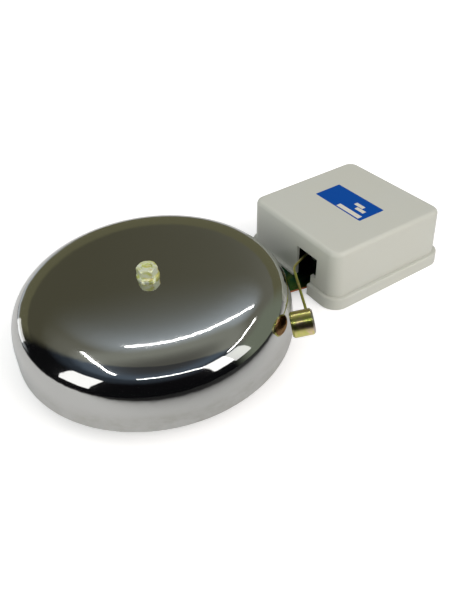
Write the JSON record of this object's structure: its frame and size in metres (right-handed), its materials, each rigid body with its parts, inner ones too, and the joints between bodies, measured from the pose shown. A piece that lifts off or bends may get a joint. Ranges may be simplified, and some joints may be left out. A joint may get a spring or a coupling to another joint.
{
  "type": "electric gong bell",
  "caption": "Wall-mounted electric bell: a chromed dome gong on a pillar, struck from outside by a hammer on a bent wire from a magnet in a moulded cover.",
  "frame": {"origin": "middle of the whole bell's footprint, on the wall face that the plate's foot and pads and the cover's rim rest on", "axes": "+X from the gong towards the cover, the long way of the bell; +Z away from the wall, through the gong's crown; +Y completes a right-handed set, so the hammer lies on the -Y side"},
  "size_m": [0.3364, 0.2, 0.0641],
  "materials": {
    "chrome": "mirror chrome plate",
    "zinc": "yellow passivated zinc plate",
    "plate_zinc": "yellow-green passivated zinc plate",
    "ivory": "semi-gloss moulded plastic, ivory grey",
    "laminations": "stacked electrical steel",
    "steel": "bright zinc plate",
    "spring_steel": "blued spring steel",
    "bobbin": "black moulded nylon",
    "copper": "enamelled copper wire",
    "rubber": "matt black rubber",
    "felt": "grey felt",
    "block": "white moulded plastic",
    "brass": "plain brass"
  },
  "bodies": {
    "base": {"gong": "chrome", "gong_bolt": "zinc", "gong_pillar": "steel", "felt_washer": "felt", "gong_washer": "zinc", "gong_nut": "zinc", "base_plate": "plate_zinc", "cover": "ivory", "cover_screws": "steel", "cable_grommet": "rubber", "magnet_core": "laminations", "coil_bobbin": "bobbin", "coil_winding": "copper", "core_spacers": "brass", "core_screws": "steel", "core_nuts": "steel", "spring_post": "steel", "spring_clamp": "steel", "clamp_screws": "steel", "post_screw": "steel", "stop_pin": "steel", "stop_sleeve": "rubber", "terminal_block": "block", "terminal_tubes": "brass", "terminal_screws": "steel", "block_screw": "steel", "earth_washer": "brass", "earth_screw": "brass"},
    "striker": {"armature": "steel", "leaf_spring": "spring_steel", "spring_rivets": "steel", "hammer_rod": "zinc", "hammer": "zinc"}
  },
  "joints": [
    {"name": "armature_hinge", "type": "hinge", "parent": "base", "child": "striker", "pos_m": [0.1275, -0.01075, 0.02565], "axis": [0, 0, 1], "range_deg": [-0.3, 2.5], "stiffness_Nm_per_rad": 4.8, "deforming": ["leaf_spring"]}
  ]
}
